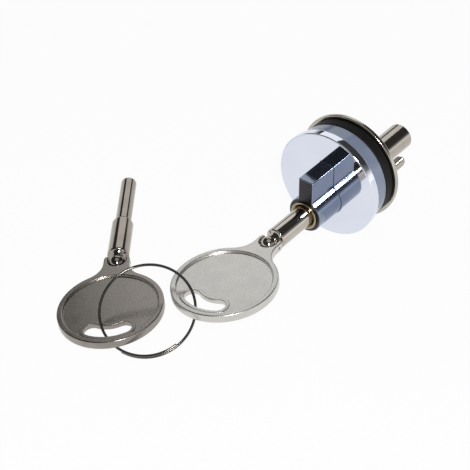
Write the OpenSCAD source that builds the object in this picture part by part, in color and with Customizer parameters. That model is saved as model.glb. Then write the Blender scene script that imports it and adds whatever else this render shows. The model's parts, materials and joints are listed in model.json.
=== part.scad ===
// Glass cabinet door lock with its two folding keys on a split ring.
// Millimetres. The lock's axis is Y, the bolt points to +Y and Z is up.
// The origin lies on the lock's axis, where the glass meets the clear washer.

/* [Glass clamp] */
// Radius of the front rosette
rosette_r = 15; // [14:0.5:18]
// Thickness of the front rosette
rosette_t = 2.4; // [2:0.1:4]
// Bevel round the edges of the rosette and of the rear plate
edge_bevel = 0.3; // [0.1:0.05:0.5]
// Radius of the rear plate
plate_r = 15; // [14:0.5:18]
// Thickness of the rear plate
plate_t = 1.2; // [0.8:0.1:2]
// Outer radius of the clear washer
washer_r = 14.1; // [13.2:0.1:15]
// Thickness of the clear washer
washer_t = 4.6; // [3.6:0.1:6]
// Outer radius of the rubber ring
rubber_r = 14.1; // [13.2:0.1:15]
// Thickness of the rubber ring
rubber_t = 3.2; // [2:0.1:5]
// Radius of the hole in the glass, and of the holes in the two rings
glass_hole_r = 11.5; // [11.3:0.1:12.5]
// Radius of the two clamp studs
stud_r = 1.45; // [1.2:0.05:1.5]
// Sideways distance from the lock's axis to each stud
stud_x = 9.1; // [8.9:0.1:9.4]
// Height of the studs above the lock's axis
stud_z = -0.5; // [-1.5:0.1:1]
// How far the studs stand out behind the rear plate
stud_reach = 10.6; // [6:0.1:14]
// Width of a clamp nut across its flats
nut_af = 5; // [4.5:0.1:5.5]
// Thickness of a clamp nut
nut_t = 2.2; // [1.6:0.1:3]

/* [Lock cylinder] */
// Height of the plug's axis above the lock's axis
plug_z = -4.2; // [-4.6:0.1:-3.8]
// How far the cylinder stands out of the rosette
boss_len = 9.4; // [8.6:0.1:12]
// Radius of the cylinder's round part
boss_r = 4.9; // [4.7:0.1:5.4]
// Width of the pin housing above the round part
block_w = 4.4; // [3.6:0.1:5.2]
// Height of the pin housing's top above the lock's axis
block_top = 6.7; // [6:0.1:8]
// Thickness of the cylinder's flange behind the rosette
flange_t = 1.8; // [1.2:0.1:2.4]
// Radius of the tube behind the flange
tube_r = 5.4; // [5:0.1:6]
// Radius of the plug
plug_r = 3.4; // [3.2:0.05:3.6]
// Length of the plug inside the cylinder
plug_len = 8.8; // [8.8:0.1:9.2]
// Radius of the plug's front lip
lip_r = 3.9; // [3.8:0.05:4.2]
// Thickness of the plug's front lip
lip_t = 0.7; // [0.5:0.1:1]
// Depth of the plug's dish, where the key's collar seats
dish_t = 1.4; // [1:0.1:1.4]
// Radius of the pin that keeps the plug in
retainer_r = 0.5; // [0.4:0.05:0.55]

/* [Pin tumblers] */
// Number of pin stacks
stacks = 3; // [2:1:3]
// Distance from one stack to the next
stack_pitch = 1.9; // [1.8:0.05:2]
// Radius of the pins
pin_r = 0.7; // [0.6:0.05:0.75]
// Length of a driver pin
driver_len = 2; // [1.5:0.1:2.4]
// Thickness of the strip that closes the pin chambers
cover_t = 0.8; // [0.6:0.1:1]
// Width of that strip
cover_w = 2.6; // [2.2:0.1:3]
// Wire radius of a pin spring
pin_wire_r = 0.14; // [0.1:0.01:0.16]
// Number of curls in a pin spring
pin_curls = 6; // [4:1:6]

/* [Bolt] */
// How far the bolt stands out behind the rear plate
bolt_reach = 23.8; // [20:0.2:30]
// Radius of the bolt's free end
bolt_r = 3.65; // [3.6:0.05:3.9]
// Radius of the bolt's sleeve
sleeve_r = 3.3; // [3.2:0.05:3.35]
// Travel of the bolt while the key makes its turn
bolt_throw = 6; // [4.5:0.1:6.2]
// Turn of the key that draws the bolt in
key_sweep = 180; // [150:5:180]
// Radius of the plug's tail
tail_r = 2.65; // [2.6:0.05:2.7]
// Radius of the pin that drives the bolt, and of the pin that guides it
drive_pin_r = 0.7; // [0.5:0.05:0.8]
// Bevel on the bolt's end
bolt_bevel = 0.4; // [0.2:0.05:0.8]

/* [Keys] */
// Radius of the key's tip
tip_r = 2.1; // [1.9:0.05:2.15]
// Length of the key's tip
tip_len = 19; // [18.5:0.1:20]
// Depth of the flat along the tip
tip_flat = 0.45; // [0.3:0.05:0.6]
// Rounding of the tip's end
tip_round = 0.8; // [0.4:0.1:1]
// Radius of the key's collar
collar_r = 2.85; // [2.7:0.05:2.9]
// Distance from the fold pivot to the end of the collar
collar_end = 16.9; // [15:0.1:19]
// Radius of the ball at the fold pivot
ball_r = 2.2; // [2:0.05:2.3]
// Distance from the fold pivot to the collar's shoulder
shoulder = 2.7; // [2.6:0.1:3.2]
// Radius of the fold pin
fold_pin_r = 0.6; // [0.4:0.05:0.7]
// Length of the neck from the bow's edge to the fold pivot
neck_len = 4.65; // [4.4:0.05:5.2]
// Radius of the bow
bow_r = 13.65; // [13.2:0.05:14]
// Thickness of the bow's rim
bow_t = 2.2; // [2:0.1:2.4]
// Width of the bow's raised rim
rim_w = 1.55; // [1.3:0.05:1.8]
// Thickness of the bow between its sunk faces
web_t = 1.1; // [0.9:0.05:1.2]
// Thickness of the pad round the ring slot
pad_t = 1.4; // [1.3:0.05:1.5]
// Half the width of the neck
neck_w = 3.4; // [3.2:0.05:3.6]
// Radius of the hollow curve from the neck to the bow
neck_fillet = 6; // [5:0.1:7]
// Distance from the edge of a sunk face to the middle of the ring slot
slot_in = 3.2; // [3:0.05:3.4]
// Half the width of the ring slot
slot_half_w = 2.05; // [2:0.05:2.1]
// Half the angle that the ring slot covers, without its round ends
slot_half_a = 27; // [25:1:30]

/* [Lie of the keys and the ring] */
// Turn of the first key about the plug's axis
key_turn = -7; // [-10:1:0]
// Droop of the first key's bow on its pivot
bow1_droop = 3; // [0:0.5:5]
// Angle on the split ring from one slot to the other
ring_arc = 166.2; // [165.5:0.1:167]
// Heading of the line from the second slot to the first
chord_heading = 49.9; // [49.4:0.1:50.4]
// Slope of that line, the first slot higher
chord_slope = 14.4; // [14.2:0.1:14.8]
// Heading of the second key
key2_heading = 35.9; // [35:0.1:37]
// Slope of the second key, its tip lower
key2_slope = -0.4; // [-0.6:0.1:0]
// Turn of the second key about its own axis
key2_turn = -8; // [-8.5:0.5:-6]
// Droop of the second key's shaft on its pivot
shaft2_droop = 1.5; // [0:0.1:1.6]
// Mean radius of the split ring
ring_r = 12.05; // [12:0.05:12.2]
// Wire radius of the split ring
ring_wire_r = 0.35; // [0.3:0.01:0.4]
// Step of the ring's wire over one turn
ring_pitch = 1.2; // [1.15:0.05:1.3]
// Angle over which the ring's wire runs double
ring_overlap = 70; // [40:5:90]
// Tilt of the ring about the line through the two slots
ring_tilt = 27.5; // [27:0.5:28]
// Place of the ring along the first slot, from its middle
slot1_at = 18; // [17:0.5:19]
// Place of the ring along the second slot, from its middle
slot2_at = 9; // [8.5:0.5:9.5]
// How far the ring passes the second slot inside the slot's middle line
slot2_in = 0.8; // [0.7:0.05:0.9]

/* [Fits] */
// Radial clearance of everything that turns or slides
run_gap = 0.05; // [0.03:0.01:0.08]
// Clearance between a pin and the slot that it runs in
slot_gap = 0.2; // [0.15:0.05:0.25]
// Free space left at the end of a travel
end_gap = 0.4; // [0.3:0.05:0.5]

/* [Hidden] */
$fn = 64;

CHROME = "#c9d2e2";
NICKEL = "#a7a29c";
STEEL = "#8c8a88";
BRASS = "#b8a06a";
SATIN = "#c4c3bf";
RUBBER = "#1b1a19";
CLEAR = "#9fb0cc";

// Places along the lock's axis
rosette_back = -washer_t;
front_y = rosette_back - rosette_t;
plate_front = rubber_t;
plate_back = plate_front + plate_t;
boss_y = front_y - boss_len;
flange_back = rosette_back + flange_t;
tube_end = plate_front - slot_gap;
plug_back = boss_y + plug_len;
dish_y = boss_y + dish_t;
tip_end = dish_y + tip_len;
tail_end = tip_end + slot_gap + 3 * drive_pin_r;
drive_pin_y = tail_end - 1.5 * drive_pin_r;
sleeve_front = plug_back + bolt_throw + end_gap;
spigot_front = tail_end + bolt_throw + end_gap;
spigot_len = 3;
sleeve_end = spigot_front + spigot_len;
bolt_end = plate_back + bolt_reach;
guide_y = (flange_back + tube_end) / 2;
retainer_y = plug_back - 2 * retainer_r;
retainer_drop = plug_r - 0.4 * retainer_r;
first_stack = dish_y + pin_r + 0.3;
pivot_y = dish_y - collar_end;
bow_off = bow_r + neck_len;
recess_r = bow_r - rim_w;
slot_r = recess_r - slot_in;

// Fits that several pieces share
plug_bore_r = plug_r + run_gap;
sleeve_bore_r = tail_r + run_gap;
bolt_bore_r = sleeve_r + run_gap;
key_bore_r = tip_r + run_gap;
chamber_r = pin_r + run_gap;
flange_r = glass_hole_r - end_gap / 2;
shear_r = plug_r + 2 * run_gap;
driver_bottom = plug_z + shear_r;
spring_bottom = driver_bottom + driver_len;
spring_top = block_top - cover_t;
cover_len = (stacks - 1) * stack_pitch + 4 * pin_r;
stack_y = [for (i = [0 : stacks - 1]) first_stack + i * stack_pitch];
stud_hole_r = stud_r + 3 * run_gap;
stud_seat = 0.6 * rosette_t;

// The neck's hollow curve touches the neck's side, and runs into the bow just inside its edge
merge_r = bow_r - 0.2;
neck_t = bow_t - 0.2;
fillet_x = neck_w + neck_fillet;
fillet_y = sqrt(pow(merge_r + neck_fillet, 2) - pow(fillet_x, 2));
touch_x = fillet_x * merge_r / (merge_r + neck_fillet);
ear_in = ball_r + 2 * run_gap;
ear_reach = 0.6 * shoulder;
shaft_neck_r = 0.68 * ball_r;

// Turning about X, Y or Z, and the frame of each key
function turn_x(p, a) = [p[0], p[1] * cos(a) - p[2] * sin(a), p[1] * sin(a) + p[2] * cos(a)];
function turn_y(p, a) = [p[0] * cos(a) + p[2] * sin(a), p[1], p[2] * cos(a) - p[0] * sin(a)];
function turn_z(p, a) = [p[0] * cos(a) - p[1] * sin(a), p[0] * sin(a) + p[1] * cos(a), p[2]];
function on_bow1(p) = turn_y(turn_x(p, bow1_droop), key_turn) + [0, pivot_y, plug_z];
function key2_turned(p) = turn_z(turn_x(turn_y(p, key2_turn), key2_slope), key2_heading);
function in_slot(a, r) = [-r * sin(a), -bow_off - r * cos(a), 0];
function unit(p) = p / norm(p);

// The ring runs through one point of each slot, and its plane tilts about the line between them.
// The second key hangs on it at the second point.
ring_p1 = on_bow1(in_slot(slot1_at, slot_r));
chord = turn_z(turn_y([1, 0, 0], -chord_slope), chord_heading);
chord_len = 2 * ring_r * sin(ring_arc / 2);
ring_p2 = ring_p1 - chord_len * chord;
key2_pivot = ring_p2 - key2_turned(in_slot(slot2_at, slot_r - slot2_in));
function on_key2(p) = key2_turned(p) + key2_pivot;
level_side = unit(cross([0, 0, 1], chord));
rise_side = cross(chord, level_side);
ring_side = cos(ring_tilt) * level_side + sin(ring_tilt) * rise_side;
ring_off = ring_r * cos(ring_arc / 2);
ring_centre = (ring_p1 + ring_p2) / 2 + ring_off * ring_side;
ring_axis = cross(chord, ring_side);
ring_out = unit(ring_p1 - ring_centre);
ring_along = cross(ring_axis, ring_out);
ring_out2 = unit(ring_p2 - ring_centre);
ring_along2 = cross(ring_axis, ring_out2);
ring_mid_a = ring_arc / 2;
ring_sides = 8;
ring_rings = 36;
ring_half_a = (360 + ring_overlap) / 2;
function ring_point(a) =
    ring_centre
    + ring_r * (cos(a) * ring_out + sin(a) * ring_along)
    + ring_pitch * (a - ring_mid_a) / 360 * ring_axis;
ring_path = [for (i = [0 : ring_rings]) ring_point(ring_mid_a - ring_half_a + 2 * ring_half_a * i / ring_rings)];

// Rings of points about a path, each square to the path there
function path_dir(path, i) = unit(path[min(i + 1, len(path) - 1)] - path[max(i - 1, 0)]);
function ring_about(c, dir, up, r, sides) =
    let (side = unit(cross(dir, up)), rise = cross(side, dir))
    [for (k = [0 : sides - 1]) c + r * (cos(360 * k / sides) * side + sin(360 * k / sides) * rise)];
function spring_path(r, y, z0, z1, curls) =
    [for (i = [0 : 8 * curls]) [r * cos(45 * i), y + r * sin(45 * i), z0 + (z1 - z0) * i / (8 * curls)]];

// Least distance between strands of a path that lie further apart along it than the skip
function self_gap(path, skip, r) =
    min([for (i = [0 : len(path) - 1 - skip]) for (j = [i + skip : len(path) - 1]) norm(path[i] - path[j])]) - 2 * r;
pin_spring_r = pin_r - pin_wire_r - run_gap;
pin_spring_path = spring_path(pin_spring_r, 0, spring_bottom + pin_wire_r, spring_top - pin_wire_r, pin_curls);
ring_far = ceil(ring_rings * 180 / (360 + ring_overlap));
echo(split_ring_gap = self_gap(ring_path, ring_far, ring_wire_r));
echo(pin_spring_gap = self_gap(pin_spring_path, 6, pin_wire_r));
echo(ring_p1 = ring_p1, along1 = ring_along, ring_p2 = ring_p2, along2 = ring_along2);
echo(fold1 = on_bow1([0, 0, 0]), fold1_axis = turn_y([1, 0, 0], key_turn));
echo(fold2 = on_key2([0, 0, 0]), fold2_axis = on_key2([1, 0, 0]) - on_key2([0, 0, 0]));
echo(ring_lowest = min([for (p = ring_path) p[2]]), bolt_end = bolt_end, sleeve_end = sleeve_end);

// Draws a flat outline, given sideways and upwards, from y0 to y1
module along_y(y0, y1) {
    translate([0, y1, 0]) rotate([90, 0, 0]) linear_extrude(y1 - y0) children();
}

// A round bar along Y on the plug's axis
module plug_bar(y0, y1, r) {
    along_y(y0, y1) translate([0, plug_z]) circle(r);
}

// Turns what rides with the key about the plug's axis
module turned() {
    translate([0, 0, plug_z]) rotate([0, key_turn, 0]) translate([0, 0, -plug_z]) children();
}

// A disc along Y with both edges bevelled
module bevelled_disc(y0, y1, r, bevel) {
    translate([0, y0, 0])
        rotate([-90, 0, 0])
            rotate_extrude()
                polygon([
                    [0, 0], [r - bevel, 0], [r, bevel],
                    [r, y1 - y0 - bevel], [r - bevel, y1 - y0], [0, y1 - y0],
                ]);
}

// The outline of the cylinder: a round part with the pin housing above it
module cylinder_outline(gap) {
    translate([0, plug_z]) circle(boss_r + gap);
    translate([-block_w / 2 - gap, plug_z]) square([block_w + 2 * gap, block_top - plug_z + gap]);
}

// A tube of round wire along a path
module wire_tube(path, up, r, sides) {
    last = len(path) - 1;
    rings = [for (i = [0 : last]) each ring_about(path[i], path_dir(path, i), up, r, sides)];
    walls = [
        for (i = [0 : last - 1]) for (k = [0 : sides - 1])
            let (a = i * sides + k, b = i * sides + (k + 1) % sides)
            each [[a, b, b + sides], [a, b + sides, a + sides]]
    ];
    caps = [
        for (k = [1 : sides - 2])
            each [[0, k + 1, k], [last * sides, last * sides + k, last * sides + k + 1]]
    ];
    polyhedron(rings, concat(walls, caps));
}

// Both studs' places
module at_studs() {
    for (x = [-stud_x, stud_x]) translate([x, 0, stud_z]) children();
}

module rosette() {
    color(CHROME) difference() {
        bevelled_disc(front_y, rosette_back, rosette_r, edge_bevel);
        along_y(front_y - 1, rosette_back + 1) cylinder_outline(run_gap);
        at_studs() along_y(rosette_back - stud_seat, rosette_back + 1) circle(stud_r);
    }
}

module flat_ring(y0, y1, r) {
    along_y(y0, y1) difference() {
        circle(r);
        circle(glass_hole_r);
    }
}

module clear_washer() {
    color(CLEAR, 0.6) flat_ring(rosette_back, 0, washer_r);
}

module rubber_ring() {
    color(RUBBER) flat_ring(0, plate_front, rubber_r);
}

module rear_plate() {
    color(NICKEL) difference() {
        bevelled_disc(plate_front, plate_back, plate_r, edge_bevel);
        plug_bar(plate_front - 1, plate_back + 1, bolt_bore_r);
        at_studs() along_y(plate_front - 1, plate_back + 1) circle(stud_hole_r);
    }
}

module clamp_studs() {
    stud_len = plate_back + stud_reach - rosette_back + stud_seat;
    dome = 0.6 * stud_r;
    color(NICKEL) at_studs()
        translate([0, rosette_back - stud_seat, 0])
            rotate([-90, 0, 0])
                rotate_extrude()
                    polygon(concat(
                        [[0, 0], [stud_r, 0]],
                        [for (a = [0 : 15 : 90]) [stud_r - dome + dome * cos(a), stud_len - dome + dome * sin(a)]],
                        [[0, stud_len]]
                    ));
}

module clamp_nuts() {
    color(STEEL) at_studs()
        along_y(plate_back, plate_back + nut_t)
            difference() {
                circle(nut_af / sqrt(3), $fn = 6);
                circle(stud_r);
            }
}

module cylinder_body() {
    color(CHROME) difference() {
        union() {
            along_y(boss_y, rosette_back) cylinder_outline(0);
            along_y(rosette_back, flange_back) circle(flange_r);
            plug_bar(flange_back, tube_end, tube_r);
        }
        plug_bar(boss_y - 1, plug_back, plug_bore_r);
        plug_bar(plug_back, tube_end + 1, bolt_bore_r);
        for (y = stack_y) translate([0, y, plug_z]) cylinder(h = block_top - plug_z + 1, r = chamber_r);
        cover_strip(1);
        retainer_pin();
        turned() guide_pin();
        at_studs() along_y(rosette_back - 1, flange_back + 1) circle(stud_hole_r);
    }
}

// The strip over the pin chambers, and its pocket when it is taller
module cover_strip(extra) {
    translate([-cover_w / 2, first_stack - 2 * pin_r, block_top - cover_t])
        cube([cover_w, cover_len, cover_t + extra]);
}

module chamber_cover() {
    color(NICKEL) cover_strip(0);
}

module driver_pins() {
    color(BRASS)
        for (y = stack_y) translate([0, y, driver_bottom]) cylinder(h = driver_len, r = pin_r);
}

module pin_springs() {
    color(STEEL)
        for (y = stack_y)
            translate([0, y, 0]) wire_tube(pin_spring_path, [0, 0, 1], pin_wire_r, 6);
}

// A pin across the plug's groove, from the side of the cylinder that faces away
module retainer_pin() {
    reach = sqrt(pow(boss_r, 2) - pow(retainer_drop + retainer_r, 2)) - run_gap;
    translate([-reach, retainer_y, plug_z - retainer_drop])
        rotate([0, 90, 0])
            cylinder(h = 1.7 * reach, r = retainer_r);
}

module plug_retainer() {
    color(STEEL) retainer_pin();
}

// The pin that keeps the bolt from turning: it stands in the sleeve's straight slot
module guide_pin() {
    translate([0, guide_y, plug_z + tail_r + 2 * run_gap])
        cylinder(h = tube_r - tail_r - 4 * run_gap, r = drive_pin_r);
}

module bolt_guide_pin() {
    color(STEEL) turned() guide_pin();
}

// The key's tip seen end on: round, with one flat
module tip_outline(r, flat) {
    difference() {
        circle(r);
        translate([-r, -r]) square([2 * r, flat]);
    }
}

module plug() {
    color(BRASS) turned() difference() {
        union() {
            plug_bar(boss_y - lip_t, boss_y, lip_r);
            plug_bar(boss_y, plug_back, plug_r);
            plug_bar(plug_back, tail_end, tail_r);
        }
        plug_bar(boss_y - lip_t - 1, dish_y, collar_r + 2 * run_gap);
        plug_bar(boss_y - 1, dish_y + 2 * slot_gap, key_bore_r);
        along_y(boss_y - 1, tip_end + slot_gap) translate([0, plug_z]) tip_outline(key_bore_r, tip_flat);
        for (y = stack_y) translate([0, y, plug_z]) cylinder(h = lip_r, r = chamber_r);
        plug_groove();
        drive_pin_bar();
    }
}

module plug_groove() {
    half = retainer_r + run_gap;
    along_y(retainer_y - half, retainer_y + half) translate([0, plug_z]) difference() {
        circle(plug_r + 1);
        circle(retainer_drop - retainer_r - run_gap);
    }
}

module key_pins() {
    top = plug_r - 4 * run_gap;
    color(BRASS) turned()
        for (y = stack_y)
            translate([0, y, plug_z + key_bore_r]) cylinder(h = top - key_bore_r, r = pin_r);
}

module drive_pin_bar() {
    translate([0, drive_pin_y, plug_z])
        rotate([0, 90, 0])
            cylinder(h = sleeve_r - run_gap, r = drive_pin_r);
}

module drive_pin() {
    color(STEEL) turned() drive_pin_bar();
}

// The slot that the drive pin runs in: it climbs by the bolt's throw over the key's sweep
module helix_slot() {
    half = drive_pin_r + slot_gap;
    climb = atan(bolt_throw / (sleeve_r * key_sweep * PI / 180));
    across = half / sin(climb);
    reach = sleeve_r + 1;
    over_a = key_sweep * half / bolt_throw;
    translate([0, drive_pin_y + bolt_throw + half, plug_z])
        rotate([90, 0, 0])
            linear_extrude(bolt_throw + 2 * half, twist = -key_sweep - 2 * over_a, slices = 48)
                rotate(-key_sweep - over_a)
                    translate([0, -across])
                        square([reach, 2 * across]);
    for (t = [0, 1])
        translate([0, drive_pin_y + t * bolt_throw, plug_z])
            rotate([0, 90 + t * key_sweep, 0])
                cylinder(h = reach, r = half);
}

// The straight slot that the guide pin stands in
module guide_slot() {
    half = drive_pin_r + slot_gap;
    for (t = [0, 1])
        translate([0, guide_y + t * bolt_throw, plug_z]) cylinder(h = sleeve_r + 1, r = half);
    translate([-half, guide_y, plug_z]) cube([2 * half, bolt_throw, sleeve_r + 1]);
}

module bolt_sleeve() {
    color(NICKEL) turned() difference() {
        plug_bar(sleeve_front, sleeve_end, sleeve_r);
        plug_bar(sleeve_front - 1, sleeve_end + 1, sleeve_bore_r);
        helix_slot();
        guide_slot();
    }
}

module bolt_rod() {
    color(NICKEL) translate([0, spigot_front, plug_z])
        rotate([-90, 0, 0])
            rotate_extrude()
                polygon([
                    [0, 0], [sleeve_bore_r, 0], [sleeve_bore_r, spigot_len], [bolt_r, spigot_len],
                    [bolt_r, bolt_end - spigot_front - bolt_bevel],
                    [bolt_r - bolt_bevel, bolt_end - spigot_front], [0, bolt_end - spigot_front],
                ]);
}

// A key's shaft: a ball at the pivot, a collar and the tip, which points to +Y
module key_shaft() {
    full = collar_end + tip_len;
    bevel = 0.25 * collar_r;
    difference() {
        rotate([-90, 0, 0]) rotate_extrude() {
            intersection() {
                circle(ball_r);
                translate([0, -2 * ball_r]) square([2 * ball_r, 4 * ball_r]);
            }
            polygon(concat(
                [[0, 0], [shaft_neck_r, 0], [shaft_neck_r, shoulder], [collar_r - bevel / 2, shoulder]],
                [[collar_r, shoulder + bevel / 2], [collar_r, collar_end - bevel], [collar_r - bevel / 2, collar_end]],
                [[tip_r, collar_end]],
                [for (a = [0 : 15 : 90]) [tip_r - tip_round * (1 - cos(a)), full - tip_round * (1 - sin(a))]],
                [[0, full]]
            ));
        }
        rotate([0, 90, 0]) cylinder(h = 4 * ball_r, r = fold_pin_r + run_gap, center = true);
        translate([-tip_r, collar_end + slot_gap, -tip_r]) cube([2 * tip_r, tip_len, tip_flat + run_gap]);
    }
}

// The bow's flat outline from its edge to the two ears beside the ball
module neck_outline() {
    difference() {
        union() {
            translate([-touch_x, -bow_off]) square([2 * touch_x, fillet_y]);
            translate([-neck_w, fillet_y - bow_off]) square([2 * neck_w, bow_off - fillet_y]);
            for (s = [-1, 1]) intersection() {
                translate([s * (neck_w + ear_in) / 2 - (neck_w - ear_in) / 2, -1]) square([neck_w - ear_in, 2 + ear_reach]);
                circle(norm([neck_w, ear_reach]) - 0.3);
            }
        }
        for (s = [-1, 1]) translate([s * fillet_x, fillet_y - bow_off]) circle(neck_fillet);
        circle(ball_r + slot_gap);
        translate([-ear_in, 0]) square([2 * ear_in, 2 * ear_reach]);
    }
}

// The ring slot, a curved slot about the middle of the bow, whose round ends are a hair wider than it
module slot_outline(half_w) {
    band_w = half_w - run_gap;
    for (s = [-1, 1]) rotate(s * slot_half_a) translate([0, -slot_r]) circle(half_w);
    intersection() {
        difference() {
            circle(slot_r + band_w);
            circle(slot_r - band_w);
        }
        polygon([[0, 0], for (s = [-1, 1]) 2 * slot_r * [s * sin(slot_half_a), -cos(slot_half_a)]]);
    }
}

// A key's bow: a rim round two sunk faces, a pad with the ring slot, and the neck with its ears
module key_bow() {
    bevel = 0.15 * bow_t;
    difference() {
        union() {
            translate([0, -bow_off, 0]) rotate_extrude() polygon([
                [0, -web_t / 2], [recess_r, -web_t / 2], [recess_r, -bow_t / 2],
                [bow_r - bevel, -bow_t / 2], [bow_r, bevel - bow_t / 2], [bow_r, bow_t / 2 - bevel],
                [bow_r - bevel, bow_t / 2], [recess_r, bow_t / 2], [recess_r, web_t / 2], [0, web_t / 2],
            ]);
            translate([0, -bow_off, -pad_t / 2]) linear_extrude(pad_t) slot_outline(slot_half_w + 0.9);
            translate([0, 0, -neck_t / 2]) linear_extrude(neck_t) difference() {
                neck_outline();
                translate([0, -bow_off]) circle((bow_r + recess_r) / 2);
            }
        }
        translate([0, -bow_off, -bow_t]) linear_extrude(2 * bow_t) slot_outline(slot_half_w);
        rotate([0, 90, 0]) cylinder(h = 4 * neck_w, r = fold_pin_r, center = true);
    }
}

module key_fold_pin() {
    rotate([0, 90, 0]) cylinder(h = 2 * neck_w - 0.2, r = fold_pin_r, center = true);
}

// The two keys where they lie
module key1_place() {
    translate([0, pivot_y, plug_z]) rotate([0, key_turn, 0]) children();
}

module key2_place() {
    translate(key2_pivot)
        rotate([0, 0, key2_heading])
            rotate([key2_slope, 0, 0])
                rotate([0, key2_turn, 0])
                    children();
}

module key1_shaft() {
    color(NICKEL) key1_place() key_shaft();
}

module key1_bow() {
    color(SATIN) key1_place() rotate([bow1_droop, 0, 0]) key_bow();
}

module key1_fold_pin() {
    color(STEEL) key1_place() rotate([bow1_droop, 0, 0]) key_fold_pin();
}

module key2_shaft() {
    color(NICKEL) key2_place() rotate([-shaft2_droop, 0, 0]) key_shaft();
}

module key2_bow() {
    color(SATIN) key2_place() key_bow();
}

module key2_fold_pin() {
    color(STEEL) key2_place() key_fold_pin();
}

module split_ring() {
    color(STEEL) wire_tube(ring_path, ring_axis, ring_wire_r, ring_sides);
}

rosette();
clear_washer();
rubber_ring();
rear_plate();
clamp_studs();
clamp_nuts();
cylinder_body();
chamber_cover();
driver_pins();
pin_springs();
plug_retainer();
bolt_guide_pin();
plug();
key_pins();
drive_pin();
bolt_sleeve();
bolt_rod();
key1_shaft();
key1_bow();
key1_fold_pin();
split_ring();
key2_shaft();
key2_bow();
key2_fold_pin();
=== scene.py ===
import json
import math
import bmesh
import bpy
from mathutils import Matrix, Vector


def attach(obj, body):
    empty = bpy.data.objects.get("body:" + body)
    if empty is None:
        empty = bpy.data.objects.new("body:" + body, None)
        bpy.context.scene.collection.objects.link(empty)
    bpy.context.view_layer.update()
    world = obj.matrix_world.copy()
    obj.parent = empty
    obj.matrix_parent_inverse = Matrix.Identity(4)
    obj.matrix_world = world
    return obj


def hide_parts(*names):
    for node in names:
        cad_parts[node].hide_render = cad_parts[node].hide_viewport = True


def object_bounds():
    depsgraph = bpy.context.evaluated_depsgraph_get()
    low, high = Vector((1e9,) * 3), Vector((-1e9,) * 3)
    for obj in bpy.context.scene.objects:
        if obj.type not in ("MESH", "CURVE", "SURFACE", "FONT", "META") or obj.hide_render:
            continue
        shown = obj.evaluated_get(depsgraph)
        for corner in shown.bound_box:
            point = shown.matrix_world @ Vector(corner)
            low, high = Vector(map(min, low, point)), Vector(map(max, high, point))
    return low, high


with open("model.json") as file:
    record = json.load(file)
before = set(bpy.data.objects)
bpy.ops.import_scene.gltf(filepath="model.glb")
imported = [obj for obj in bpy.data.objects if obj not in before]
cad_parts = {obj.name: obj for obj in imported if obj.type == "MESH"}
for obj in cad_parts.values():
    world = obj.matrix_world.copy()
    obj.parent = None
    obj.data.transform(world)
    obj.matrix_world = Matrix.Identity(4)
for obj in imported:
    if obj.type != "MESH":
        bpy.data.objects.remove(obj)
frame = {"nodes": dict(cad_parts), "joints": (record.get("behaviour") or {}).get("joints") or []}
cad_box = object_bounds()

# Rosette: the front disc of the lock, turned from brass, polished flat and chromed.
# It is a cool mirror with a softly broken edge, pierced in the outline of the cylinder that stands in it.
mm = 0.001
disc_r, disc_front, disc_thick = 14.99, -7.0, 2.4
plug_z = -4.2


def linear(hex_colour):
    channels = [int(hex_colour[i:i + 2], 16) / 255 for i in (1, 3, 5)]
    return [c / 12.92 if c <= 0.04045 else ((c + 0.055) / 1.055) ** 2.4 for c in channels] + [1.0]


def add(tree, kind, settings=None, links=None):
    """Adds a shader node; a setting or link goes by the name or the number of its socket."""
    node = tree.nodes.new(kind)
    for name, value in (settings or {}).items():
        if isinstance(name, int) or name in node.inputs:
            node.inputs[name].default_value = value
        else:
            setattr(node, name, value)
    for name, source in (links or {}).items():
        tree.links.new(source, node.inputs[name])
    return node


def plated_metal(name, clean, dull, smooth, rough, cloud_mm, line_mm, line_lie, line_depth_mm):
    """A plated metal: slow clouds in its tint and polish, fine drawn lines, and edges rubbed a little duller.

    The drawn lines are coarser than those of a real polishing wheel, because finer ones wouldn't show.
    """
    material = bpy.data.materials.new(name)
    material.use_nodes = True
    tree = material.node_tree
    shader = tree.nodes["Principled BSDF"]
    shader.inputs["Metallic"].default_value = 1.0
    place = add(tree, "ShaderNodeTexCoord").outputs["Object"]
    clouds = add(tree, "ShaderNodeTexNoise", {"Scale": 1 / (cloud_mm * mm), "Detail": 4.0}, {"Vector": place})
    tint = add(tree, "ShaderNodeMix", {"data_type": "RGBA", 6: linear(dull), 7: linear(clean)},
               {0: clouds.outputs["Fac"]})
    tree.links.new(tint.outputs[2], shader.inputs["Base Color"])
    turn, stretch = line_lie
    drawn = add(tree, "ShaderNodeMapping", {"vector_type": "TEXTURE", "Rotation": turn, "Scale": stretch},
                {"Vector": place})
    lines = add(tree, "ShaderNodeTexNoise", {"Scale": 1 / (line_mm * mm), "Detail": 5.0, "Roughness": 0.6},
                {"Vector": drawn.outputs["Vector"]})
    mixed = add(tree, "ShaderNodeMath", {"operation": "MULTIPLY"},
                {0: clouds.outputs["Fac"], 1: lines.outputs["Fac"]})
    polish = add(tree, "ShaderNodeMapRange", {"From Min": 0.1, "From Max": 0.45, "To Min": smooth, "To Max": rough},
                 {"Value": mixed.outputs["Value"]})
    edge = add(tree, "ShaderNodeMapRange", {"From Min": 0.53, "From Max": 0.62, "To Min": 0.0, "To Max": 0.06},
               {"Value": add(tree, "ShaderNodeNewGeometry").outputs["Pointiness"]})
    rubbed = add(tree, "ShaderNodeMath", {"operation": "ADD"},
                 {0: polish.outputs["Result"], 1: edge.outputs["Result"]})
    tree.links.new(rubbed.outputs["Value"], shader.inputs["Roughness"])
    bump = add(tree, "ShaderNodeBump", {"Strength": 1.0, "Distance": line_depth_mm * mm},
               {"Height": lines.outputs["Fac"]})
    tree.links.new(bump.outputs["Normal"], shader.inputs["Normal"])
    return material


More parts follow.
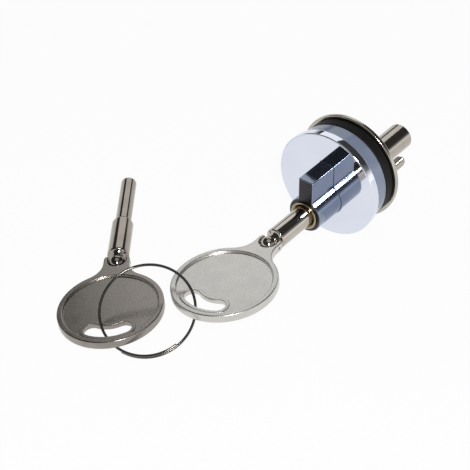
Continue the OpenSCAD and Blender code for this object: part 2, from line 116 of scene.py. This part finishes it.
def round_outline(bm, x, y, z, radius, segments):
    """Draws a circle that faces along Y and returns its edges."""
    lie = Matrix.Translation((x * mm, y * mm, z * mm)) @ Matrix.Rotation(math.pi / 2, 4, "X")
    verts = bmesh.ops.create_circle(bm, segments=segments, radius=radius * mm, matrix=lie)["verts"]
    return list({e for v in verts for e in v.link_edges})


def casing_outline(bm, y, gap):
    """Draws the cylinder's outline, round below with the pin housing above, and returns its edges."""
    radius, half, top = 4.9 + gap, 2.2 + gap, 6.7 + gap
    spread = math.asin(half / radius)
    foot = bm.verts.new((half * mm, y * mm, (plug_z + radius * math.cos(spread)) * mm))
    spun = bmesh.ops.spin(bm, geom=[foot], cent=(0, 0, plug_z * mm), axis=(0, 1, 0), steps=96,
                          angle=math.tau - 2 * spread)
    far_foot = [v for v in spun["geom_last"] if isinstance(v, bmesh.types.BMVert)][0]
    corners = [bm.verts.new((x * mm, y * mm, top * mm)) for x in (-half, half)]
    path = (far_foot, *corners, foot)
    straight = {bm.edges.new(pair) for pair in zip(path, path[1:])}

    def on_curve(vert):
        return abs(Vector((vert.co.x, vert.co.z - plug_z * mm)).length - radius * mm) < 0.001 * mm

    curve = {e for e in bm.edges if e not in straight and all(on_curve(v) for v in e.verts)}
    return list(curve | straight)


def thick_plate(bm, edges, depth, border):
    """Fills the space between outlines, with a neat border along each, and pushes it back along Y."""
    filled = bmesh.ops.triangle_fill(bm, use_beauty=True, edges=edges, normal=(0, -1, 0))
    faces = [f for f in filled["geom"] if isinstance(f, bmesh.types.BMFace)]
    bmesh.ops.inset_region(bm, faces=faces, thickness=border * mm, use_even_offset=True, use_boundary=True)
    pushed = bmesh.ops.extrude_face_region(bm, geom=bm.faces[:])
    bmesh.ops.translate(bm, verts=[v for v in pushed["geom"] if isinstance(v, bmesh.types.BMVert)],
                        vec=(0, depth * mm, 0))
    bmesh.ops.recalc_face_normals(bm, faces=bm.faces)


def break_edges(bm, radius, segments, sharper_than=35, beyond=0.0):
    """Rounds the outward edges that are sharper than the angle and lie beyond a distance from the lock's axis."""
    sharp = [e for e in bm.edges if len(e.link_faces) == 2
             and e.calc_face_angle_signed(0) > math.radians(sharper_than)
             and all(Vector((v.co.x, v.co.z)).length > beyond * mm for v in e.verts)]
    bmesh.ops.bevel(bm, geom=sharp, offset=radius * mm, offset_type="OFFSET", affect="EDGES", segments=segments,
                    profile=0.5, material=-1, clamp_overlap=True)


def finish_piece(bm, name, *materials):
    """Makes an object whose round edges are smooth and whose flats stay flat."""
    mesh = bpy.data.meshes.new(name)
    bm.to_mesh(mesh)
    bm.free()
    mesh.polygons.foreach_set("use_smooth", [True] * len(mesh.polygons))
    for material in materials:
        mesh.materials.append(material)
    piece = bpy.data.objects.new(name, mesh)
    bpy.context.collection.objects.link(piece)
    piece.modifiers.new("flat_faces", "WEIGHTED_NORMAL").keep_sharp = True
    return piece


even = ((0, 0, 0), (1, 1, 1))
bright_chrome = plated_metal("polished_chrome_plate", "#e0e4ee", "#d4d9e7", 0.03, 0.07, 9, 0.6, even, 0.00002)
rosette_bm = bmesh.new()
rosette_edges = round_outline(rosette_bm, 0, disc_front, 0, disc_r, 256)
rosette_edges += casing_outline(rosette_bm, disc_front, 0.05)
thick_plate(rosette_bm, rosette_edges, disc_thick, 0.4)
break_edges(rosette_bm, 0.3, 4, beyond=14)
break_edges(rosette_bm, 0.08, 2, sharper_than=60)
rosette = finish_piece(rosette_bm, "rosette_disc", bright_chrome)
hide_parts("rosette")
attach(rosette, "housing")

# Clear washer: a moulded ring of clear plastic between the rosette and the glass.
# Light gathers in it, so that it looks pale blue with brighter edges.


def spin_outline(bm, outline, centre, steps):
    """Spins an outline of (radius, place along Y) in full about a line along Y through the centre."""
    points = [bm.verts.new(Vector(centre) + Vector((r * mm, y * mm, 0))) for r, y in outline]
    edges = [bm.edges.new(pair) for pair in zip(points, points[1:])]
    bmesh.ops.spin(bm, geom=points + edges, cent=centre, axis=(0, 1, 0), angle=math.tau, steps=steps, use_merge=True)
    bmesh.ops.remove_doubles(bm, verts=bm.verts, dist=0.001 * mm)
    bmesh.ops.recalc_face_normals(bm, faces=bm.faces)


lock_axis = (0, 0, 0)
washer_in, washer_out, washer_front = 11.5, 14.1, -4.6
clear_plastic = bpy.data.materials.new("clear_moulded_plastic")
clear_plastic.use_nodes = True
tree = clear_plastic.node_tree
shader = tree.nodes["Principled BSDF"]
shader.inputs["IOR"].default_value = 1.49
shader.inputs["Transmission Weight"].default_value = 0.55
place = add(tree, "ShaderNodeTexCoord").outputs["Object"]
flow = add(tree, "ShaderNodeTexNoise", {"Scale": 1 / (4 * mm), "Detail": 3.0}, {"Vector": place})
tint = add(tree, "ShaderNodeMix", {"data_type": "RGBA", 6: linear("#a0aeca"), 7: linear("#bac7e0")},
           {0: flow.outputs["Fac"]})
tree.links.new(tint.outputs[2], shader.inputs["Base Color"])
haze = add(tree, "ShaderNodeMapRange", {"To Min": 0.06, "To Max": 0.16}, {"Value": flow.outputs["Fac"]})
tree.links.new(haze.outputs["Result"], shader.inputs["Roughness"])
ripple = add(tree, "ShaderNodeBump", {"Strength": 1.0, "Distance": 0.05 * mm}, {"Height": flow.outputs["Fac"]})
tree.links.new(ripple.outputs["Normal"], shader.inputs["Normal"])
washer_bm = bmesh.new()
spin_outline(washer_bm, [(washer_in, washer_front), (washer_out, washer_front), (washer_out, 0), (washer_in, 0),
                         (washer_in, washer_front)], lock_axis, 192)
break_edges(washer_bm, 0.3, 3)
washer = finish_piece(washer_bm, "clear_washer_ring", clear_plastic)
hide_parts("clear_washer")
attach(washer, "housing")

# Rubber ring: a moulded black washer that grips the back of the glass.
# It is matt, a little dusty, and rounder at its edges than the metal.
rubber_back = 3.2
rubber = bpy.data.materials.new("moulded_black_rubber")
rubber.use_nodes = True
tree = rubber.node_tree
shader = tree.nodes["Principled BSDF"]
shader.inputs["IOR"].default_value = 1.52
shader.inputs["Specular IOR Level"].default_value = 0.2
place = add(tree, "ShaderNodeTexCoord").outputs["Object"]
dust = add(tree, "ShaderNodeTexNoise", {"Scale": 1 / (1.5 * mm), "Detail": 5.0}, {"Vector": place})
tint = add(tree, "ShaderNodeMix", {"data_type": "RGBA", 6: linear("#0b0a0a"), 7: linear("#171615")},
           {0: dust.outputs["Fac"]})
tree.links.new(tint.outputs[2], shader.inputs["Base Color"])
grip = add(tree, "ShaderNodeMapRange", {"To Min": 0.5, "To Max": 0.7}, {"Value": dust.outputs["Fac"]})
tree.links.new(grip.outputs["Result"], shader.inputs["Roughness"])
skin = add(tree, "ShaderNodeTexNoise", {"Scale": 1 / (0.25 * mm), "Detail": 3.0}, {"Vector": place})
bump = add(tree, "ShaderNodeBump", {"Strength": 0.5, "Distance": 0.03 * mm}, {"Height": skin.outputs["Fac"]})
tree.links.new(bump.outputs["Normal"], shader.inputs["Normal"])
rubber_bm = bmesh.new()
spin_outline(rubber_bm, [(washer_in, 0), (washer_out, 0), (washer_out, rubber_back), (washer_in, rubber_back),
                         (washer_in, 0)], lock_axis, 192)
break_edges(rubber_bm, 0.5, 4)
rubber_ring = finish_piece(rubber_bm, "rubber_ring_moulding", rubber)
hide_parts("rubber_ring")
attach(rubber_ring, "housing")

# Rear plate: a thin pressed disc, nickel plated, that the two nuts pull towards the glass.
# It is pierced for the bolt and the studs, and its plating is warmer and less clean than the chrome.
plate_thick, bolt_bore, stud_hole = 1.2, 3.35, 1.6
stud_sides, stud_z = (-9.1, 9.1), -0.5
nickel = plated_metal("polished_nickel_plate", "#c4beb5", "#a49e95", 0.10, 0.22, 6, 0.35, even, 0.0002)
plate_bm = bmesh.new()
plate_edges = round_outline(plate_bm, 0, rubber_back, 0, disc_r, 256)
plate_edges += round_outline(plate_bm, 0, rubber_back, plug_z, bolt_bore, 96)
for x in stud_sides:
    plate_edges += round_outline(plate_bm, x, rubber_back, stud_z, stud_hole, 48)
thick_plate(plate_bm, plate_edges, plate_thick, 0.4)
break_edges(plate_bm, 0.28, 4, beyond=14)
break_edges(plate_bm, 0.08, 2, sharper_than=60)
rear_plate = finish_piece(plate_bm, "rear_plate_disc", nickel)
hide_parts("rear_plate")
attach(rear_plate, "housing")

# Clamp studs: two studs set in the back of the rosette, with a rolled thread and a domed end.
# The crests of a rolled thread are round and polished.


def roll_thread(bm, centre, start_y, turns, root_r, crest_r, pitch):
    """Spins one tooth along the stud, a full pitch for each turn."""
    tooth = [(root_r, 0), (crest_r - 0.05, 0.32), (crest_r, 0.5), (crest_r - 0.05, 0.68), (root_r, 1)]
    points = [bm.verts.new(Vector(centre) + Vector((r * mm, (start_y + t * pitch) * mm, 0))) for r, t in tooth]
    edges = [bm.edges.new(pair) for pair in zip(points, points[1:])]
    steps = 28
    bmesh.ops.spin(bm, geom=points + edges, cent=centre, axis=(0, 1, 0), dvec=(0, pitch * mm / steps, 0),
                   angle=math.tau * turns, steps=steps * turns)


stud_r, thread_root, thread_start, thread_turns, thread_pitch = 1.45, 1.16, 4.3, 19, 0.5
for side, x in zip(("left", "right"), stud_sides):
    centre = (x * mm, 0, stud_z * mm)
    stud_bm = bmesh.new()
    spin_outline(stud_bm, [(0, -6.04), (stud_r, -6.04), (stud_r, thread_start), (1.24, 4.5), (1.24, 14.0), (1.2, 14.36),
                           (1.0, 14.7), (0.6, 14.92), (0, 15.0)], centre, 48)
    roll_thread(stud_bm, centre, thread_start, thread_turns, thread_root, stud_r, thread_pitch)
    bmesh.ops.recalc_face_normals(stud_bm, faces=stud_bm.faces)
    stud = finish_piece(stud_bm, f"clamp_stud_{side}", nickel)
    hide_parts("clamp_studs")
    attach(stud, "housing")

# Clamp nuts: a small hexagon nut on each stud, tight against the rear plate.
# Their corners are chamfered, and they are plain steel.
nut_front, nut_across, nut_thick = rubber_back + plate_thick, 5, 2.2
steel = plated_metal("polished_steel", "#8f8d8a", "#6b6866", 0.14, 0.30, 3, 0.3, even, 0.0003)
for side, x in zip(("left", "right"), stud_sides):
    nut_bm = bmesh.new()
    nut_edges = round_outline(nut_bm, x, nut_front, stud_z, nut_across / math.sqrt(3), 6)
    nut_edges += round_outline(nut_bm, x, nut_front, stud_z, stud_r, 48)
    thick_plate(nut_bm, nut_edges, nut_thick, 0.3)
    break_edges(nut_bm, 0.22, 3)
    nut = finish_piece(nut_bm, f"clamp_nut_{side}", steel)
    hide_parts("clamp_nuts")
    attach(nut, "housing")

# Cylinder: a short profile cylinder with the plug's bore below and the pin housing above it.
# Its sides are chromed and polished; its end is faced off on the lathe, which leaves it dark and dull.
plug_axis = (0, 0, plug_z * mm)
casing_front, casing_deep, plug_bore = -16.4, 11.8, 3.45
flange_r, flange_thick, tube_r, tube_end = 11.3, 1.8, 5.4, 3.0
dark_chrome = plated_metal("dark_chrome_plate", "#8f98aa", "#7c8597", 0.05, 0.12, 5, 0.4, even, 0.00005)
faced_end = plated_metal("faced_dark_metal", "#4b494d", "#39373b", 0.30, 0.42, 2, 0.2, even, 0.0008)
casing_bm = bmesh.new()
casing_edges = casing_outline(casing_bm, casing_front, 0)
casing_edges += round_outline(casing_bm, 0, casing_front, plug_z, plug_bore, 96)
thick_plate(casing_bm, casing_edges, casing_deep, 0.25)
break_edges(casing_bm, 0.2, 3, sharper_than=50)
for face in casing_bm.faces:
    face.material_index = 1 if face.normal.y < -0.98 else 0
casing = finish_piece(casing_bm, "cylinder_casing", dark_chrome, faced_end)
flange_bm = bmesh.new()
flange_edges = round_outline(flange_bm, 0, washer_front, 0, flange_r, 192)
flange_edges += round_outline(flange_bm, 0, washer_front, plug_z, bolt_bore, 96)
for x in stud_sides:
    flange_edges += round_outline(flange_bm, x, washer_front, stud_z, stud_hole, 48)
thick_plate(flange_bm, flange_edges, flange_thick, 0.3)
break_edges(flange_bm, 0.15, 3)
flange = finish_piece(flange_bm, "cylinder_flange", dark_chrome)
tube_bm = bmesh.new()
tube_start = washer_front + flange_thick
spin_outline(tube_bm, [(bolt_bore, tube_start), (tube_r, tube_start), (tube_r, tube_end), (bolt_bore, tube_end),
                       (bolt_bore, tube_start)], plug_axis, 96)
break_edges(tube_bm, 0.15, 3)
tube = finish_piece(tube_bm, "cylinder_tube", dark_chrome)
for piece in (casing, flange, tube):
    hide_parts("cylinder_body")
    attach(piece, "housing")

# Chamber cover: a narrow strip pressed into the top of the pin housing, over the three pin chambers.
# It lies all but flush, so that only its outline shows.
cover_bm = bmesh.new()
bmesh.ops.create_cube(cover_bm, size=1, matrix=Matrix.Translation((0, -12.1 * mm, 6.31 * mm))
                      @ Matrix.Diagonal((2.6 * mm, 6.6 * mm, 0.8 * mm, 1)))
break_edges(cover_bm, 0.05, 2)
cover = finish_piece(cover_bm, "chamber_cover_strip", dark_chrome)
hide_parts("chamber_cover")
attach(cover, "housing")

# Plug: the turning core, brass under thin plating, with a dished mouth that the key's collar seats in.
# Wear has let the brass through inside the dish.
round_y = ((0, 0, 0), (12, 1, 12))
plated_brass = plated_metal("worn_plated_brass", "#b8b2a4", "#9b8250", 0.10, 0.28, 1.2, 0.25, round_y, 0.0006)
plug_bm = bmesh.new()
spin_outline(plug_bm, [(0, 4.2), (2.15, 4.2), (2.15, -15.0), (2.95, -15.0), (2.95, -16.6), (3.45, -17.1),
                       (3.9, -17.1), (3.9, casing_front), (3.4, casing_front), (3.4, -9.15), (2.65, -9.15),
                       (2.65, -8.05), (3.4, -8.05), (3.4, -7.6), (2.65, -7.6), (2.65, 6.3), (0, 6.3)], plug_axis, 96)
break_edges(plug_bm, 0.12, 3, sharper_than=30)
plug = finish_piece(plug_bm, "plug_core", plated_brass)
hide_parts("plug")
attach(plug, "turning_plug")

# Bolt: a hollow sleeve with its two slots, and a solid round end pressed into it.
# The end is ground round and nickel plated, and the sleeve keeps its CAD shape.
ground_nickel = plated_metal("ground_nickel_plate", "#bdb7ae", "#9f9991", 0.10, 0.2, 5, 0.3, round_y, 0.0004)
rod_bm = bmesh.new()
spin_outline(rod_bm, [(0, 12.7), (2.7, 12.7), (2.7, 15.7), (3.65, 15.7), (3.65, 28.2), (0, 28.2)], plug_axis, 128)
break_edges(rod_bm, 0.38, 4)
rod = finish_piece(rod_bm, "bolt_round_end", ground_nickel)
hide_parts("bolt_rod")
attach(rod, "bolt")
sleeve = frame["nodes"]["bolt_sleeve"]
sleeve.data.materials.clear()
sleeve.data.materials.append(ground_nickel)

# Key shafts: each is turned in one piece, with a ball for the fold, a collar and a slim tip with one flat.
# They are polished and nickel plated, so that they show hard bright and dark bands; the second is tinted darker than
# the first.
joints = {joint["name"]: joint for joint in frame["joints"]}
key1_roll, key2_roll, key2_heading, key2_slope, shaft2_droop = -7, -8, 35.9, -0.4, -1.5
key1_turn = Matrix.Rotation(math.radians(key1_roll), 4, "Y")
key2_turn = (Matrix.Rotation(math.radians(key2_heading), 4, "Z") @ Matrix.Rotation(math.radians(key2_slope), 4, "X")
             @ Matrix.Rotation(math.radians(key2_roll), 4, "Y"))
key1_lie = Matrix.Translation(joints["key1_fold"]["pos_m"]) @ key1_turn
key2_lie = Matrix.Translation(joints["key2_fold"]["pos_m"]) @ key2_turn
droop = Matrix.Rotation(math.radians(shaft2_droop), 4, "X")
shafts = ((1, key1_lie, 0, "first_shaft", "#c6c0b7", "#a8a198"),
          (2, key2_lie @ droop, key2_heading, "second_shaft", "#a8a198", "#88817a"))
for number, lie, heading, body, clean, dull in shafts:
    shaft_bm = bmesh.new()
    spin_outline(shaft_bm, [(0, 16.6), (2.09, 16.6), (2.09, 35.1), (2.03, 35.42), (1.87, 35.67), (1.6, 35.84),
                            (1.3, 35.9), (0, 35.9)], (0, 0, 0), 96)
    cut = bmesh.ops.bisect_plane(shaft_bm, geom=shaft_bm.verts[:] + shaft_bm.edges[:] + shaft_bm.faces[:],
                                 plane_co=(0, 0, -1.6 * mm), plane_no=(0, 0, -1), clear_outer=True)
    bmesh.ops.holes_fill(shaft_bm, edges=[e for e in cut["geom_cut"] if isinstance(e, bmesh.types.BMEdge)])
    break_edges(shaft_bm, 0.06, 2, sharper_than=25)
    spin_outline(shaft_bm, [(0, 0), (1.496, 0), (1.496, 2.7), (2.494, 2.7), (2.85, 3.06), (2.85, 16.19),
                            (2.494, 16.9), (0, 16.9)], (0, 0, 0), 96)
    bmesh.ops.create_uvsphere(shaft_bm, u_segments=64, v_segments=32, radius=2.2 * mm,
                              matrix=Matrix.Rotation(math.pi / 2, 4, "Y"))
    bmesh.ops.transform(shaft_bm, matrix=lie, verts=shaft_bm.verts)
    lathe_lines = ((0, 0, math.radians(heading)), (12, 1, 12))
    bright_nickel = plated_metal(f"bright_nickel_plate_{number}", clean, dull, 0.05, 0.11, 5, 0.3, lathe_lines,
                                 0.0002)
    shaft = finish_piece(shaft_bm, f"key{number}_turned_shaft", bright_nickel)
    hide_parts(f"key{number}_shaft")
    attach(shaft, body)

# Key bows: each is a flat round casting with a raised rim on both faces, a curved slot for the ring,
# and two ears that hold the shaft's ball. It is tumbled to a satin and nickel plated; the second bow has a darker copy
# of that finish, painted shade for the darker light it mirrors.
bow_r, recess_r, bow_off, slot_r, slot_half, slot_a = 13.62, 12.1, 18.3, 8.9, 2.05, 27
neck_w, neck_fillet, ear_in, ear_reach, notch_r = 3.4, 6.0, 2.3, 1.62, 2.4
rim_z, web_z, pad_z = 1.1, 0.55, 0.7
bow_middle = Vector((0, -bow_off * mm, 0))


def swing(bm, vert, centre, degrees, steps):
    """Swings a vertex round a centre in the bow's plane and returns the last one."""
    spun = bmesh.ops.spin(bm, geom=[vert], cent=centre, axis=(0, 0, 1), angle=math.radians(degrees), steps=steps)
    return [v for v in spun["geom_last"] if isinstance(v, bmesh.types.BMVert)][0]


def both_sides(bm, before):
    """Mirrors the half outline drawn since then, and returns the edges of the closed loop."""
    half = [v for v in bm.verts if v not in before]
    half_edges = list({e for v in half for e in v.link_edges})
    bmesh.ops.mirror(bm, geom=half + half_edges, axis="X", merge_dist=-1)
    new = [v for v in bm.verts if v not in before]
    bmesh.ops.remove_doubles(bm, verts=new, dist=0.004 * mm)
    return list({e for v in bm.verts if v not in before for e in v.link_edges})


def edge_outline(bm, z):
    """The bow's outer edge with its neck and ears."""
    before = set(bm.verts)
    lift = Vector((0, 0, z * mm))
    fillet_x = neck_w + neck_fillet
    fillet_y = math.sqrt((bow_r + neck_fillet) ** 2 - fillet_x ** 2)
    climb = math.degrees(math.atan2(fillet_y, fillet_x))
    start = bm.verts.new(bow_middle + lift - Vector((0, bow_r * mm, 0)))
    touch = swing(bm, start, bow_middle, 90 + climb, 72)
    last = swing(bm, touch, bow_middle + Vector((fillet_x * mm, fillet_y * mm, 0)), -climb, 16)
    notch_y = math.sqrt(notch_r ** 2 - ear_in ** 2)
    for x, y in ((neck_w, 0.67), (3.28, 1.14), (3.06, ear_reach), (ear_in, ear_reach), (ear_in, notch_y)):
        corner = bm.verts.new((x * mm, y * mm, z * mm))
        bm.edges.new((last, corner))
        last = corner
    swing(bm, last, (0, 0, 0), -90 - math.degrees(math.atan2(notch_y, ear_in)), 20)
    return both_sides(bm, before)


def recess_outline(bm, z):
    """The round edge of a sunk face."""
    before = set(bm.verts)
    start = bm.verts.new(bow_middle + Vector((0, -recess_r * mm, z * mm)))
    swing(bm, start, bow_middle, 180, 80)
    return both_sides(bm, before)


def slot_outline(bm, half, z):
    """The curved ring slot, or the pad round it."""
    before = set(bm.verts)
    start = bm.verts.new(bow_middle + Vector((0, -(slot_r - half) * mm, z * mm)))
    inner = swing(bm, start, bow_middle, slot_a, 14)
    a = math.radians(slot_a)
    cap = bow_middle + Vector((math.sin(a), -math.cos(a), 0)) * slot_r * mm
    outer = swing(bm, inner, cap, -180, 20)
    swing(bm, outer, bow_middle, -slot_a, 18)
    return both_sides(bm, before)


def fill_between(bm, edges):
    """Fills the flat space between two loops."""
    bmesh.ops.triangle_fill(bm, use_beauty=True, edges=edges, normal=(0, 0, 1))


def pull(bm, edges, rise):
    """Pulls a loop of edges up or down into a wall and returns its far edge."""
    pulled = bmesh.ops.extrude_edge_only(bm, edges=edges)["geom"]
    far = {v for v in pulled if isinstance(v, bmesh.types.BMVert)}
    bmesh.ops.translate(bm, verts=list(far), vec=(0, 0, rise * mm))
    return [e for e in pulled if isinstance(e, bmesh.types.BMEdge) and set(e.verts) <= far]


def level_with(part, z):
    """Whether an edge or a face lies level at a height."""
    return all(abs(v.co.z - z * mm) < 0.001 * mm for v in part.verts)


def soften(bm, z, border, radius, segments):
    """Gives the flat at a height a neat border, and rounds the sharp edges there, but not those round the ball."""
    flat = [f for f in bm.faces if level_with(f, z)]
    bmesh.ops.inset_region(bm, faces=flat, thickness=border * mm, use_even_offset=True, use_boundary=True)
    sharp = [e for e in bm.edges if level_with(e, z) and len(e.link_faces) == 2
             and e.calc_face_angle(0) > math.radians(35) and min(v.co.length for v in e.verts) > 2.5 * mm]
    bmesh.ops.bevel(bm, geom=sharp, offset=radius * mm, offset_type="OFFSET", affect="EDGES", segments=segments,
                    profile=0.5, material=-1, clamp_overlap=True)


def key_bow():
    """One bow, drawn as its upper half and mirrored."""
    bm = bmesh.new()
    outer = edge_outline(bm, rim_z)
    recess = recess_outline(bm, rim_z)
    fill_between(bm, outer + recess)
    pull(bm, outer, -rim_z)
    sunk = pull(bm, recess, web_z - rim_z)
    pad = slot_outline(bm, slot_half + 0.9, web_z)
    fill_between(bm, sunk + pad)
    pad_top = pull(bm, pad, pad_z - web_z)
    slot = slot_outline(bm, slot_half, pad_z)
    fill_between(bm, pad_top + slot)
    pull(bm, slot, -pad_z)
    bmesh.ops.recalc_face_normals(bm, faces=bm.faces)
    soften(bm, rim_z, 0.34, 0.3, 4)
    soften(bm, pad_z, 0.16, 0.12, 3)
    soften(bm, web_z, 0.14, 0.1, 3)
    bmesh.ops.mirror(bm, geom=bm.verts[:] + bm.edges[:] + bm.faces[:], axis="Z", merge_dist=-1)
    bmesh.ops.remove_doubles(bm, verts=bm.verts, dist=0.002 * mm)
    bmesh.ops.recalc_face_normals(bm, faces=bm.faces)
    return bm


satin_nickel = plated_metal("satin_nickel_casting", "#d6d4d0", "#c2bfba", 0.24, 0.36, 4, 0.35, even, 0.0006)
# The second bow's darker tint is painted shade: the same nickel finish made darker to stand in for the darker light it
# mirrors.
painted_shade_nickel = plated_metal("nickel_casting_painted_shade", "#a39e98", "#857f79", 0.2, 0.32, 3, 0.35, even, 0.0006)
bow1_tilt = 3
bow_lies = (key1_lie @ Matrix.Rotation(math.radians(bow1_tilt), 4, "X"), key2_lie)
bows = ((1, bow_lies[0], "first_bow", satin_nickel), (2, bow_lies[1], "second_bow", painted_shade_nickel))
for number, lie, body, finish in bows:
    bow_bm = key_bow()
    bmesh.ops.transform(bow_bm, matrix=lie, verts=bow_bm.verts)
    bow = finish_piece(bow_bm, f"key{number}_cast_bow", finish)
    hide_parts(f"key{number}_bow")
    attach(bow, body)

# Fold pins: a short steel pin through each pair of ears and the ball between them.
# Its ends are riveted over into low domes.
for number, lie, body in ((1, bow_lies[0], "first_bow"), (2, bow_lies[1], "second_bow")):
    pin_bm = bmesh.new()
    spin_outline(pin_bm, [(0, -3.45), (0.35, -3.42), (0.6, -3.3), (0.6, 3.3), (0.35, 3.42), (0, 3.45)], (0, 0, 0), 32)
    bmesh.ops.rotate(pin_bm, verts=pin_bm.verts, matrix=Matrix.Rotation(math.pi / 2, 3, "Z"))
    bmesh.ops.transform(pin_bm, matrix=lie, verts=pin_bm.verts)
    pin = finish_piece(pin_bm, f"key{number}_rivet_pin", steel)
    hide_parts(f"key{number}_fold_pin")
    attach(pin, body)

# Split ring: one length of hard steel wire, wound a little over one turn, with its ends side by side.
# It runs through both slots and is polished, so that it is dark with thin bright lines.
ring_r, wire_r, wire_in, ring_pitch, ring_overlap = 12.05, 0.35, 0.08, 1.2, 70
ring_steel = plated_metal("polished_spring_steel", "#6b6865", "#4c4947", 0.08, 0.18, 3, 0.3, even, 0.0003)
first_at, first_along = Vector(joints["ring_swing"]["pos_m"]), Vector(joints["ring_swing"]["axis"])
second_at, second_along = Vector(joints["key2_swing"]["pos_m"]), Vector(joints["key2_swing"]["axis"])
ring_axis = second_along.cross(first_along).normalized()
out = first_along.cross(ring_axis).normalized()
ring_centre = first_at - out * ring_r * mm
between = out.angle(second_at - ring_centre)
wire_half = math.radians(360 + ring_overlap) / 2
start_out = Matrix.Rotation(between / 2 - wire_half, 3, ring_axis) @ out
start = ring_centre + start_out * (ring_r - wire_in) * mm - ring_axis * ring_pitch * mm * wire_half / math.tau
section = Matrix((start_out, ring_axis, start_out.cross(ring_axis))).transposed().to_4x4()
wire_steps = 260
wire_bm = bmesh.new()
bmesh.ops.create_circle(wire_bm, cap_ends=True, segments=16, radius=wire_r * mm,
                        matrix=Matrix.Translation(start) @ section)
bmesh.ops.spin(wire_bm, geom=wire_bm.verts[:] + wire_bm.edges[:] + wire_bm.faces[:], cent=ring_centre,
               axis=ring_axis, angle=2 * wire_half, steps=wire_steps,
               dvec=ring_axis * ring_pitch * mm * 2 * wire_half / math.tau / wire_steps)
bmesh.ops.recalc_face_normals(wire_bm, faces=wire_bm.faces)
break_edges(wire_bm, 0.08, 2, sharper_than=50)
wire = finish_piece(wire_bm, "split_ring_wire", ring_steel)
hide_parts("split_ring")
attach(wire, "ring")

# Inside the lock: pins, springs and cross pins, which show only if it is taken apart.
# They keep their CAD shapes, in turned brass and steel.
pin_brass = plated_metal("turned_brass", "#c8ad6a", "#a3884a", 0.2, 0.35, 1, 0.2, even, 0.0005)
for name, metal in (("driver_pins", pin_brass), ("key_pins", pin_brass), ("pin_springs", steel),
                    ("plug_retainer", steel), ("bolt_guide_pin", steel), ("drive_pin", steel)):
    node = frame["nodes"][name]
    node.data.materials.clear()
    node.data.materials.append(metal)

# Table: a plain white top under the lock and the keys, level with their lowest point.
# It is all but pure white to the eye and in the metal, and keeps faint contact shadows.
table_half, table_white = 4.0, 0.94
floor_bm = bmesh.new()
bmesh.ops.create_grid(floor_bm, x_segments=1, y_segments=1, size=table_half,
                      matrix=Matrix.Translation((0, 0, cad_box[0][2])))
white_table = bpy.data.materials.new("white_table_top")
white_table.use_nodes = True
tree = white_table.node_tree
tree.nodes.clear()
diffuse = add(tree, "ShaderNodeBsdfDiffuse", {"Color": linear("#f2f2f2")})
glow = add(tree, "ShaderNodeEmission", {"Color": (1, 1, 1, 1), "Strength": 1.0})
path = add(tree, "ShaderNodeLightPath")
seen = add(tree, "ShaderNodeMath", {"operation": "MAXIMUM"},
           {0: path.outputs["Is Camera Ray"], 1: path.outputs["Is Glossy Ray"]})
seen = add(tree, "ShaderNodeMath", {"operation": "MAXIMUM"},
           {0: seen.outputs["Value"], 1: path.outputs["Is Transmission Ray"]})
share = add(tree, "ShaderNodeMath", {"operation": "MULTIPLY", 1: table_white}, {0: seen.outputs["Value"]})
surface = add(tree, "ShaderNodeMixShader", None,
              {0: share.outputs["Value"], 1: diffuse.outputs[0], 2: glow.outputs[0]})
add(tree, "ShaderNodeOutputMaterial", None, {"Surface": surface.outputs[0]})
floor = finish_piece(floor_bm, "table_top", white_table)

# Room: white round the horizon and dark above it, so that upright metal is light and level metal is dark,
# with a soft light straight overhead and another on the right.
world = bpy.data.worlds.new("studio_room")
bpy.context.scene.world = world
world.use_nodes = True
tree = world.node_tree
tree.nodes.clear()
towards = add(tree, "ShaderNodeSeparateXYZ", None,
              {"Vector": add(tree, "ShaderNodeTexCoord").outputs["Generated"]})
fade = add(tree, "ShaderNodeMapRange", {"From Min": 0.14, "From Max": 0.3, "To Min": 1.0, "To Max": 0.05},
           {"Value": towards.outputs["Z"]})
overhead = add(tree, "ShaderNodeMapRange", {"From Min": 0.88, "From Max": 0.96, "To Min": 0.0, "To Max": 0.6},
               {"Value": towards.outputs["Z"]})
side = add(tree, "ShaderNodeMapRange", {"From Min": 0.58, "From Max": 0.8, "To Min": 0.0, "To Max": 0.4},
           {"Value": towards.outputs["X"]})
light = add(tree, "ShaderNodeMath", {"operation": "ADD"},
            {0: fade.outputs["Result"], 1: overhead.outputs["Result"]})
light = add(tree, "ShaderNodeMath", {"operation": "ADD"}, {0: light.outputs["Value"], 1: side.outputs["Result"]})
room = add(tree, "ShaderNodeBackground", {"Color": (1, 1, 1, 1)}, {"Strength": light.outputs["Value"]})
add(tree, "ShaderNodeOutputWorld", None, {"Surface": room.outputs[0]})

# Lamps: a small soft one by the camera, which gives the polished metal its highlights,
# and a low softbox behind the keys, which the first bow mirrors.


def soft_lamp(name, place, target, width, height, power):
    lamp = bpy.data.lights.new(name, "AREA")
    lamp.shape = "RECTANGLE"
    lamp.size, lamp.size_y = width, height
    lamp.energy = power
    holder = bpy.data.objects.new(name, lamp)
    holder.location = place
    holder.rotation_euler = (Vector(target) - Vector(place)).to_track_quat("-Z", "Y").to_euler()
    bpy.context.collection.objects.link(holder)


soft_lamp("camera_softbox", (0.26, -0.34, 0.36), (0, -0.03, -0.01), 0.12, 0.12, 2.2)
soft_lamp("far_softbox", (-0.25, 0.30, 0.285), (0, -0.05, -0.01), 0.38, 0.21, 0.265)

# Camera: a long lens, from above and from the keys' side of the lock.
eye = (0.2114, -0.3174, 0.28451)
look = Vector((-0.4787, 0.6149, -0.6267)).normalized()
right = look.cross(Vector((0, 0, 1))).normalized()
lens = bpy.data.cameras.new("long_lens")
lens.lens, lens.sensor_width, lens.clip_start = 137.96, 36, 0.01
camera = bpy.data.objects.new("long_lens", lens)
camera.matrix_world = (Matrix.Translation(eye)
                       @ Matrix((right, right.cross(look), -look)).transposed().to_4x4())
bpy.context.collection.objects.link(camera)
bpy.context.scene.camera = camera
bpy.context.scene.view_settings.view_transform = "Standard"
